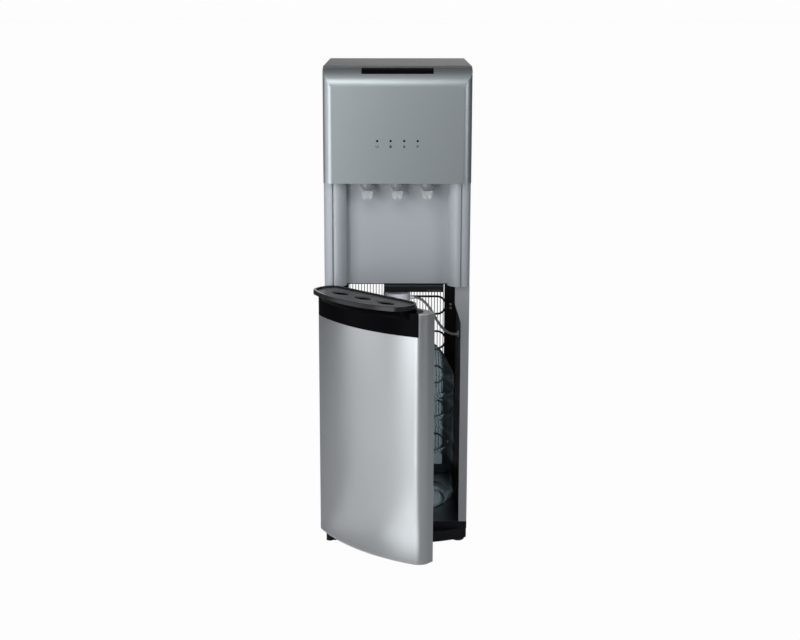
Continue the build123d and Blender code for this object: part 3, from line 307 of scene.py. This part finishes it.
finishes = {
    # name: (group, color, fine scale, shade or sparkle, roughness, gloss spread, bump mm, extra sockets)
    "doorSilver": (metalFlake, (0.56, 0.59, 0.61), 2600, 0.10, 0.30, 0.0, 0.0012, {"Metallic": 0.85}),
    "headSilver": (metalFlake, (0.42, 0.465, 0.485), 2600, 0.10, 0.40, 0.0, 0.0012, {"Metallic": 0.75}),
    # the alcove panel: the head's silver made lighter and far less metallic; the bluish tone is the
    # panel's own, the extra lightness is painted light that cancels the shade of the recess under the
    # head
    "alcoveSilverPaintedLift": (metalFlake, (0.475, 0.51, 0.55), 2600, 0.10, 0.50, 0.05, 0.0012, {"Metallic": 0.15}),
    "panelGrey": (metalFlake, (0.56, 0.585, 0.615), 2400, 0.08, 0.42, 0.06, 0.005, {"Metallic": 0.5}),
    "lidGrey": (mouldGrain, (0.13, 0.132, 0.136), 1400, 0.25, 0.50, 0.08, 0.03, {}),
    "capGrey": (mouldGrain, (0.50, 0.52, 0.53), 1100, 0.35, 0.52, 0.08, 0.05, {}),
    "blackSteel": (mouldGrain, (0.012, 0.012, 0.014), 1500, 0.3, 0.40, 0.08, 0.01,
                   {"Specular IOR Level": 0.3}),
    "blackMoulded": (mouldGrain, (0.010, 0.011, 0.014), 1200, 0.3, 0.48, 0.10, 0.03,
                     {"Specular IOR Level": 0.28}),
    "blackGloss": (mouldGrain, (0.002, 0.002, 0.003), 500, 0.2, 0.24, 0.05, 0.002,
                   {"Specular IOR Level": 0.03}),
    "trayBlack": (mouldGrain, (0.014, 0.014, 0.015), 900, 0.3, 0.22, 0.08, 0.01,
                  {"Specular IOR Level": 0.5}),
    "windowBlack": (mouldGrain, (0.003, 0.003, 0.004), 500, 0.2, 0.22, 0.05, 0.002,
                    {"Specular IOR Level": 0.1}),
    "grilleGrey": (mouldGrain, (0.18, 0.184, 0.192), 620, 0.75, 0.26, 0.12, 0.12, {}),
    "tapGrey": (mouldGrain, (0.32, 0.335, 0.35), 1300, 0.2, 0.24, 0.08, 0.01, {}),
    "paddleClear": (mouldGrain, (0.90, 0.93, 0.95), 900, 0.06, 0.10, 0.06, 0.006,
                    {"Transmission Weight": 0.65, "IOR": 1.45}),
    "lampLens": (mouldGrain, (0.022, 0.024, 0.026), 900, 0.05, 0.20, 0.05, 0.004, {}),
    "boardGreen": (mouldGrain, (0.02, 0.13, 0.05), 700, 0.4, 0.40, 0.1, 0.02, {}),
    "fittingGrey": (mouldGrain, (0.36, 0.37, 0.39), 1200, 0.15, 0.40, 0.08, 0.01, {}),
    "probeLavender": (mouldGrain, (0.82, 0.86, 0.94), 1000, 0.10, 0.42, 0.08, 0.015, {}),
    "hoseGrey": (mouldGrain, (0.24, 0.25, 0.27), 1300, 0.2, 0.45, 0.08, 0.01, {}),
    "foamWhite": (mouldGrain, (0.80, 0.79, 0.74), 260, 0.25, 0.85, 0.05, 0.5, {}),
    "plainSteel": (mouldGrain, (0.55, 0.55, 0.56), 1800, 0.12, 0.30, 0.10, 0.006, {"Metallic": 1.0}),
    "heaterMica": (mouldGrain, (0.42, 0.32, 0.17), 500, 0.35, 0.55, 0.1, 0.08, {}),
    "canBlack": (mouldGrain, (0.012, 0.012, 0.013), 600, 0.2, 0.22, 0.08, 0.02, {"Coat Weight": 0.4}),
    "rubberBlack": (mouldGrain, (0.018, 0.018, 0.019), 900, 0.3, 0.62, 0.1, 0.04, {}),
    "pumpWhite": (mouldGrain, (0.70, 0.70, 0.68), 1000, 0.12, 0.40, 0.08, 0.02, {}),
    "bottleBlue": (mouldGrain, (0.80, 0.91, 0.955), 60, 0.10, 0.015, 0.02, 0.05,
                   {"Transmission Weight": 0.96, "IOR": 1.25}),
    "zincBright": (mouldGrain, (0.74, 0.75, 0.77), 1800, 0.10, 0.24, 0.1, 0.004, {"Metallic": 1.0}),
    "magnetDark": (mouldGrain, (0.06, 0.06, 0.06), 900, 0.3, 0.5, 0.1, 0.03, {"Metallic": 0.6}),
    "rockerRed": (mouldGrain, (0.36, 0.012, 0.012), 1200, 0.1, 0.30, 0.08, 0.008, {}),
    "rockerGreen": (mouldGrain, (0.012, 0.20, 0.045), 1200, 0.1, 0.30, 0.08, 0.008, {}),
    "signGrey": (mouldGrain, (0.07, 0.073, 0.077), 900, 0.1, 0.50, 0.05, 0.004, {}),
}


def makeFinish(name, group, color, scale, spread, roughness, gloss, bumpMm, extra):
    mat = bpy.data.materials.new(name)
    mat.use_nodes = True
    tree = mat.node_tree
    shader = tree.nodes["Principled BSDF"]
    effect = tree.nodes.new("ShaderNodeGroup")
    effect.node_tree = group
    effect.inputs[0].default_value = (*color, 1)
    for socket, value in zip(effect.inputs[1:], (scale, spread, roughness, gloss)):
        socket.default_value = value
    bump = tree.nodes.new("ShaderNodeBump")
    bump.inputs["Distance"].default_value = bumpMm / 1000
    linkUp(tree, [
        (effect.outputs["Color"], shader.inputs["Base Color"]),
        (effect.outputs["Roughness"], shader.inputs["Roughness"]),
        (effect.outputs["Height"], bump.inputs["Height"]),
        (bump.outputs["Normal"], shader.inputs["Normal"]),
    ])
    for socket, value in extra.items():
        shader.inputs[socket].default_value = value
    return mat


finish = {name: makeFinish(name, *values) for name, values in finishes.items()}
print("made", len(finish), "finishes")

# every CAD node gets its finish

nodeFinish = {
    "doorSilver": ["door_skin"],
    "headSilver": ["head_panel"],
    # the alcove panel wears the lighter silver, whose lift is painted light against the recess's shade
    "alcoveSilverPaintedLift": ["alcove_panel"],
    "panelGrey": ["side_panel_left", "side_panel_right", "back_panel"],
    "lidGrey": ["top_lid"],
    "capGrey": ["door_cap_top", "door_cap_bottom"],
    "blackSteel": ["rear_frame", "mid_deck", "hinge_bracket", "condenser_tube", "condenser_wires",
                   "condenser_brackets"],
    "blackMoulded": ["base_tray", "liner_left", "liner_right", "catch_housing", "switch_frame",
                     "door_liner", "drain_cap"],
    "blackGloss": ["drip_apron"],
    "trayBlack": ["drip_tray"],
    "windowBlack": ["head_window"],
    "grilleGrey": ["drip_grille"],
    "tapGrey": ["tap_body_left", "tap_body_centre", "tap_body_right"],
    "paddleClear": ["tap_lever_left", "tap_lever_centre", "tap_lever_right"],
    "lampLens": ["indicator_lenses"],
    "boardGreen": ["control_board"],
    "fittingGrey": ["tap_nuts", "hose_bulkhead", "dip_tube", "door_bushes"],
    "probeLavender": ["probe_cap"],
    "hoseGrey": ["tap_hoses", "riser_pipe"],
    "foamWhite": ["cold_tank_jacket"],
    "plainSteel": ["hot_tank", "tank_shelf", "hinge_pin", "door_strike"],
    "heaterMica": ["heater_band"],
    "canBlack": ["compressor"],
    "rubberBlack": ["feet", "compressor_grommets", "cord_grommet"],
    "pumpWhite": ["water_pump"],
    "bottleBlue": ["bottle"],
    "zincBright": ["bracket_screws"],
    "magnetDark": ["catch_magnet"],
    "rockerRed": ["rocker_hot"],
    "rockerGreen": ["rocker_cold"],
}


def dressNodes():
    for name, members in nodeFinish.items():
        for member in members:
            mesh = nodes[member].data
            mesh.materials.clear()
            mesh.materials.append(finish[name])


dressNodes()
print("nodes dressed")

# suction hose from the probe cap to the wall fitting

suctionHose = {
    "route": (
        (0.039, 0.0, 0.5185),
        (0.063, 0.0, 0.5185),
        (0.107, -0.0225, 0.438),
        (0.131, -0.0225, 0.438),
    ),
    "diameter": 0.006,
    "length": 0.130,
    "order": 3,              # of the spline
    "stepsAlong": 24,
    "stepsRound": 6,
}


def makeSuctionHose(settings):
    curve = bpy.data.curves.new("suctionHose", "CURVE")
    curve.dimensions = "3D"
    curve.resolution_u = settings["stepsAlong"]
    curve.bevel_depth = settings["diameter"] / 2
    curve.bevel_resolution = settings["stepsRound"]
    curve.use_fill_caps = True
    spline = curve.splines.new("NURBS")
    spline.points.add(len(settings["route"]) - 1)
    for point, place in zip(spline.points, settings["route"]):
        point.co = (*place, 1)
    spline.order_u = settings["order"]
    spline.use_endpoint_u = True
    curve.materials.append(finish["hoseGrey"])
    hose = bpy.data.objects.new("suctionHose", curve)
    scene.collection.objects.link(hose)
    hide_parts("suction_hose")
    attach(hose, "cabinet")


makeSuctionHose(suctionHose)
print("suction hose made")

# geometry node helpers

ballFacets = {"round": 8, "rings": 5}       # of a bead or a pip


def plainMesh(name, tree, values, body):
    # runs the tree once and keeps its result as a plain mesh
    maker = bpy.data.objects.new(name + "Maker", bpy.data.meshes.new(name + "Maker"))
    scene.collection.objects.link(maker)
    step = maker.modifiers.new(name, "NODES")
    step.node_group = tree
    for item in tree.interface.items_tree:
        if item.item_type == "SOCKET" and item.in_out == "INPUT" and item.name in values:
            step[item.identifier] = values[item.name]
    made = maker.evaluated_get(bpy.context.evaluated_depsgraph_get())
    mesh = bpy.data.meshes.new_from_object(made)
    mesh.name = name
    maker.modifiers.remove(step)
    bpy.data.objects.remove(maker)
    piece = bpy.data.objects.new(name, mesh)
    scene.collection.objects.link(piece)
    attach(piece, body)
    return piece


def treeInputs(tree, inputs):
    for name, kind, value in inputs:
        made = tree.interface.new_socket(name, in_out="INPUT", socket_type=kind)
        if value is not None:
            made.default_value = value
    tree.interface.new_socket("Geometry", in_out="OUTPUT", socket_type="NodeSocketGeometry")
    return tree.nodes.new("NodeGroupInput"), tree.nodes.new("NodeGroupOutput")


def mathNode(tree, operation, a, b):
    node = tree.nodes.new("ShaderNodeMath")
    node.operation = operation
    for socket, value in zip(node.inputs, (a, b)):
        if isinstance(value, (int, float)):
            socket.default_value = value
        else:
            tree.links.new(value, socket)
    return node.outputs[0]


def unitBall(tree):
    ball = tree.nodes.new("GeometryNodeMeshUVSphere")
    ball.inputs["Segments"].default_value = ballFacets["round"]
    ball.inputs["Rings"].default_value = ballFacets["rings"]
    ball.inputs["Radius"].default_value = 1.0
    return ball.outputs["Mesh"]


def closeTree(tree, instances, gin, gout):
    real = tree.nodes.new("GeometryNodeRealizeInstances")
    smooth = tree.nodes.new("GeometryNodeSetShadeSmooth")
    paint = tree.nodes.new("GeometryNodeSetMaterial")
    linkUp(tree, [
        (instances, real.inputs[0]),
        (real.outputs[0], smooth.inputs[0]),
        (smooth.outputs[0], paint.inputs["Geometry"]),
        (gin.outputs["Finish"], paint.inputs["Material"]),
        (paint.outputs[0], gout.inputs[0]),
    ])


# weld beads where each condenser wire meets a run of the tube

weldBeads = {
    "runs": 11,
    "runPitch": 0.043,
    "wirePitch": 0.007,
    "standoff": 0.0029,      # from the tube's middle plane
    "bead": (0.0011, 0.0010, 0.0017),
}


def rowLength(tree, count, pitch):
    return mathNode(tree, "MULTIPLY", mathNode(tree, "SUBTRACT", count, 1), pitch)


def makeBeadTree():
    tree = bpy.data.node_groups.new("weldBeads", "GeometryNodeTree")
    gin, gout = treeInputs(tree, [
        ("Centre", "NodeSocketVector", (0, 0, 0)),
        ("Wires", "NodeSocketInt", 33), ("Runs", "NodeSocketInt", 11),
        ("Wire Pitch", "NodeSocketFloat", 0.007), ("Run Pitch", "NodeSocketFloat", 0.043),
        ("Standoff", "NodeSocketFloat", 0.003), ("Bead", "NodeSocketVector", (0.001, 0.001, 0.001)),
        ("Finish", "NodeSocketMaterial", None)])
    grid = tree.nodes.new("GeometryNodeMeshGrid")
    wide = rowLength(tree, gin.outputs["Wires"], gin.outputs["Wire Pitch"])
    tall = rowLength(tree, gin.outputs["Runs"], gin.outputs["Run Pitch"])
    both = tree.nodes.new("GeometryNodeJoinGeometry")
    linkUp(tree, [
        (wide, grid.inputs["Size X"]), (tall, grid.inputs["Size Y"]),
        (gin.outputs["Wires"], grid.inputs["Vertices X"]),
        (gin.outputs["Runs"], grid.inputs["Vertices Y"]),
    ])
    for side in (-1, 1):
        away = tree.nodes.new("ShaderNodeCombineXYZ")
        tree.links.new(mathNode(tree, "MULTIPLY", gin.outputs["Standoff"], side), away.inputs["Y"])
        place = tree.nodes.new("ShaderNodeVectorMath")
        stand = tree.nodes.new("GeometryNodeTransform")
        stand.inputs["Rotation"].default_value = (math.pi / 2, 0, 0)
        linkUp(tree, [
            (gin.outputs["Centre"], place.inputs[0]), (away.outputs[0], place.inputs[1]),
            (grid.outputs["Mesh"], stand.inputs["Geometry"]),
            (place.outputs[0], stand.inputs["Translation"]),
            (stand.outputs[0], both.inputs[0]),
        ])
    spread = tree.nodes.new("GeometryNodeInstanceOnPoints")
    linkUp(tree, [
        (both.outputs[0], spread.inputs["Points"]), (unitBall(tree), spread.inputs["Instance"]),
        (gin.outputs["Bead"], spread.inputs["Scale"]),
    ])
    closeTree(tree, spread.outputs[0], gin, gout)
    return tree


def makeWeldBeads(settings):
    low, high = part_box("condenser_wires")
    wires = round((high[0] - low[0]) / settings["wirePitch"]) + 1
    plainMesh("weldBeads", makeBeadTree(), {
        "Centre": [(a + b) / 2 for a, b in zip(low, high)],
        "Wires": wires,
        "Runs": settings["runs"],
        "Wire Pitch": settings["wirePitch"],
        "Run Pitch": settings["runPitch"],
        "Standoff": settings["standoff"],
        "Bead": list(settings["bead"]),
        "Finish": finish["blackSteel"],
    }, "cabinet")


makeWeldBeads(weldBeads)
print("weld beads made")

# raised pips that roughen the top of the drip grille

grillePips = {
    "pitch": 0.0042,
    "pip": (0.0011, 0.0011, 0.00055),
    "reach": 0.0016,         # clear of an edge or an eye by this much
    "turn": -44.0,           # degrees, the door's rest angle
    "spread": 1.5,           # the grid's width over the longer side of the grille's box
    "lift": 0.001,           # the grid starts this high over the grille
    "fall": 0.003,           # and looks down for its top this far
}


def makePipTree():
    tree = bpy.data.node_groups.new("grillePips", "GeometryNodeTree")
    gin, gout = treeInputs(tree, [
        ("Grille", "NodeSocketObject", None), ("Centre", "NodeSocketVector", (0, 0, 0)),
        ("Turn", "NodeSocketVector", (0, 0, 0)), ("Width", "NodeSocketFloat", 0.28),
        ("Depth", "NodeSocketFloat", 0.12), ("Pitch", "NodeSocketFloat", 0.004),
        ("Reach", "NodeSocketFloat", 0.0016), ("Fall", "NodeSocketFloat", 0.003),
        ("Pip", "NodeSocketVector", (0.001, 0.001, 0.0005)), ("Finish", "NodeSocketMaterial", None)])
    plate = tree.nodes.new("GeometryNodeObjectInfo")
    grid = tree.nodes.new("GeometryNodeMeshGrid")
    stand = tree.nodes.new("GeometryNodeTransform")
    across = mathNode(tree, "DIVIDE", gin.outputs["Width"], gin.outputs["Pitch"])
    along = mathNode(tree, "DIVIDE", gin.outputs["Depth"], gin.outputs["Pitch"])
    linkUp(tree, [
        (gin.outputs["Grille"], plate.inputs["Object"]),
        (gin.outputs["Width"], grid.inputs["Size X"]), (gin.outputs["Depth"], grid.inputs["Size Y"]),
        (across, grid.inputs["Vertices X"]), (along, grid.inputs["Vertices Y"]),
        (grid.outputs["Mesh"], stand.inputs["Geometry"]),
        (gin.outputs["Turn"], stand.inputs["Rotation"]),
        (gin.outputs["Centre"], stand.inputs["Translation"]),
    ])
    here = tree.nodes.new("GeometryNodeInputPosition")
    kept = None
    landed = None
    # a pip stays where the point itself and four points round it all find the grille
    for dx, dy in ((0, 0), (1, 0), (-1, 0), (0, 1), (0, -1)):
        step = tree.nodes.new("ShaderNodeCombineXYZ")
        tree.links.new(mathNode(tree, "MULTIPLY", gin.outputs["Reach"], dx), step.inputs["X"])
        tree.links.new(mathNode(tree, "MULTIPLY", gin.outputs["Reach"], dy), step.inputs["Y"])
        start = tree.nodes.new("ShaderNodeVectorMath")
        ray = tree.nodes.new("GeometryNodeRaycast")
        ray.inputs["Ray Direction"].default_value = (0, 0, -1)
        linkUp(tree, [
            (here.outputs[0], start.inputs[0]), (step.outputs[0], start.inputs[1]),
            (gin.outputs["Fall"], ray.inputs["Ray Length"]),
            (plate.outputs["Geometry"], ray.inputs["Target Geometry"]),
            (start.outputs[0], ray.inputs["Source Position"]),
        ])
        if kept is None:
            kept, landed = ray.outputs["Is Hit"], ray.outputs["Hit Position"]
            continue
        both = tree.nodes.new("FunctionNodeBooleanMath")
        tree.links.new(kept, both.inputs[0])
        tree.links.new(ray.outputs["Is Hit"], both.inputs[1])
        kept = both.outputs[0]
    spread = tree.nodes.new("GeometryNodeInstanceOnPoints")
    drop = tree.nodes.new("GeometryNodeSetPosition")
    keep = tree.nodes.new("GeometryNodeSeparateGeometry")
    linkUp(tree, [
        (stand.outputs[0], keep.inputs["Geometry"]), (kept, keep.inputs["Selection"]),
        (keep.outputs["Selection"], drop.inputs["Geometry"]), (landed, drop.inputs["Position"]),
        (drop.outputs[0], spread.inputs["Points"]), (unitBall(tree), spread.inputs["Instance"]),
        (gin.outputs["Pip"], spread.inputs["Scale"]),
    ])
    closeTree(tree, spread.outputs[0], gin, gout)
    return tree


def makeGrillePips(settings):
    low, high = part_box("drip_grille")
    size = max(high[0] - low[0], high[1] - low[1]) * settings["spread"]
    plainMesh("grillePips", makePipTree(), {
        "Grille": nodes["drip_grille"],
        "Centre": [(low[0] + high[0]) / 2, (low[1] + high[1]) / 2, high[2] + settings["lift"]],
        "Turn": [0.0, 0.0, math.radians(settings["turn"])],
        "Width": size,
        "Depth": size / 2,
        "Pitch": settings["pitch"],
        "Reach": settings["reach"],
        "Fall": settings["fall"],
        "Pip": list(settings["pip"]),
        "Finish": finish["grilleGrey"],
    }, "drip_grille")


makeGrillePips(grillePips)
print("grille pips made")

# signs under the four lamps: supply, heat, water, cold

lampSigns = {
    "pitch": 0.028,
    "drop": 0.0112,          # below the lamps
    "size": 0.0070,
    "thick": 0.00016,        # stands out of the head
    "sink": 0.0001,          # goes into the head
}


def ringStrip(radius, wide, fromTurn, toTurn, steps):
    outer, inner = [], []
    for k in range(steps + 1):
        turn = math.radians(fromTurn + (toTurn - fromTurn) * k / steps)
        outer.append((radius * math.sin(turn), radius * math.cos(turn)))
        inner.append(((radius - wide) * math.sin(turn), (radius - wide) * math.cos(turn)))
    return [(outer[k], outer[k + 1], inner[k + 1], inner[k]) for k in range(steps)]


def bar(turn, half, wide):
    c, s = math.cos(math.radians(turn)), math.sin(math.radians(turn))
    corners = ((-wide, -half), (wide, -half), (wide, half), (-wide, half))
    return [tuple((c * x - s * y, s * x + c * y) for x, y in corners)]


def tearDrop(pinch, steps):
    points = []
    for k in range(steps):
        turn = 2 * math.pi * k / steps
        points.append((pinch * math.sin(turn) * math.sin(turn / 2), math.cos(turn) / 2))
    return [tuple(points)]


# outlines of the signs, each one unit tall
signFaces = (
    ringStrip(radius=0.5, wide=0.13, fromTurn=35, toTurn=325, steps=20)
    + bar(turn=0, half=0.24, wide=0.065),
    tearDrop(pinch=0.52, steps=24),
    tearDrop(pinch=0.40, steps=24),
    [face for turn in (0, 60, 120) for face in bar(turn, half=0.5, wide=0.06)],
)


def makeLampSigns(settings):
    low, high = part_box("indicator_lenses")
    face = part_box("head_panel")[0][1]
    middle = (low[2] + high[2]) / 2 - settings["drop"]
    bm = bmesh.new()
    for k, faces in enumerate(signFaces):
        x = (k - (len(signFaces) - 1) / 2) * settings["pitch"]
        for outline in faces:
            front = [bm.verts.new((x + u * settings["size"], face - settings["thick"],
                                   middle + v * settings["size"])) for u, v in outline]
            rear = [bm.verts.new((v.co.x, face + settings["sink"], v.co.z)) for v in front]
            bm.faces.new(front)
            bm.faces.new(rear[::-1])
            for a in range(len(front)):
                b = (a + 1) % len(front)
                bm.faces.new((front[b], front[a], rear[a], rear[b]))
    bmesh.ops.recalc_face_normals(bm, faces=bm.faces)
    mesh = bpy.data.meshes.new("lampSigns")
    bm.to_mesh(mesh)
    bm.free()
    mesh.materials.append(finish["signGrey"])
    signs = bpy.data.objects.new("lampSigns", mesh)
    scene.collection.objects.link(signs)
    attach(signs, "cabinet")


makeLampSigns(lampSigns)
print("lamp signs made")
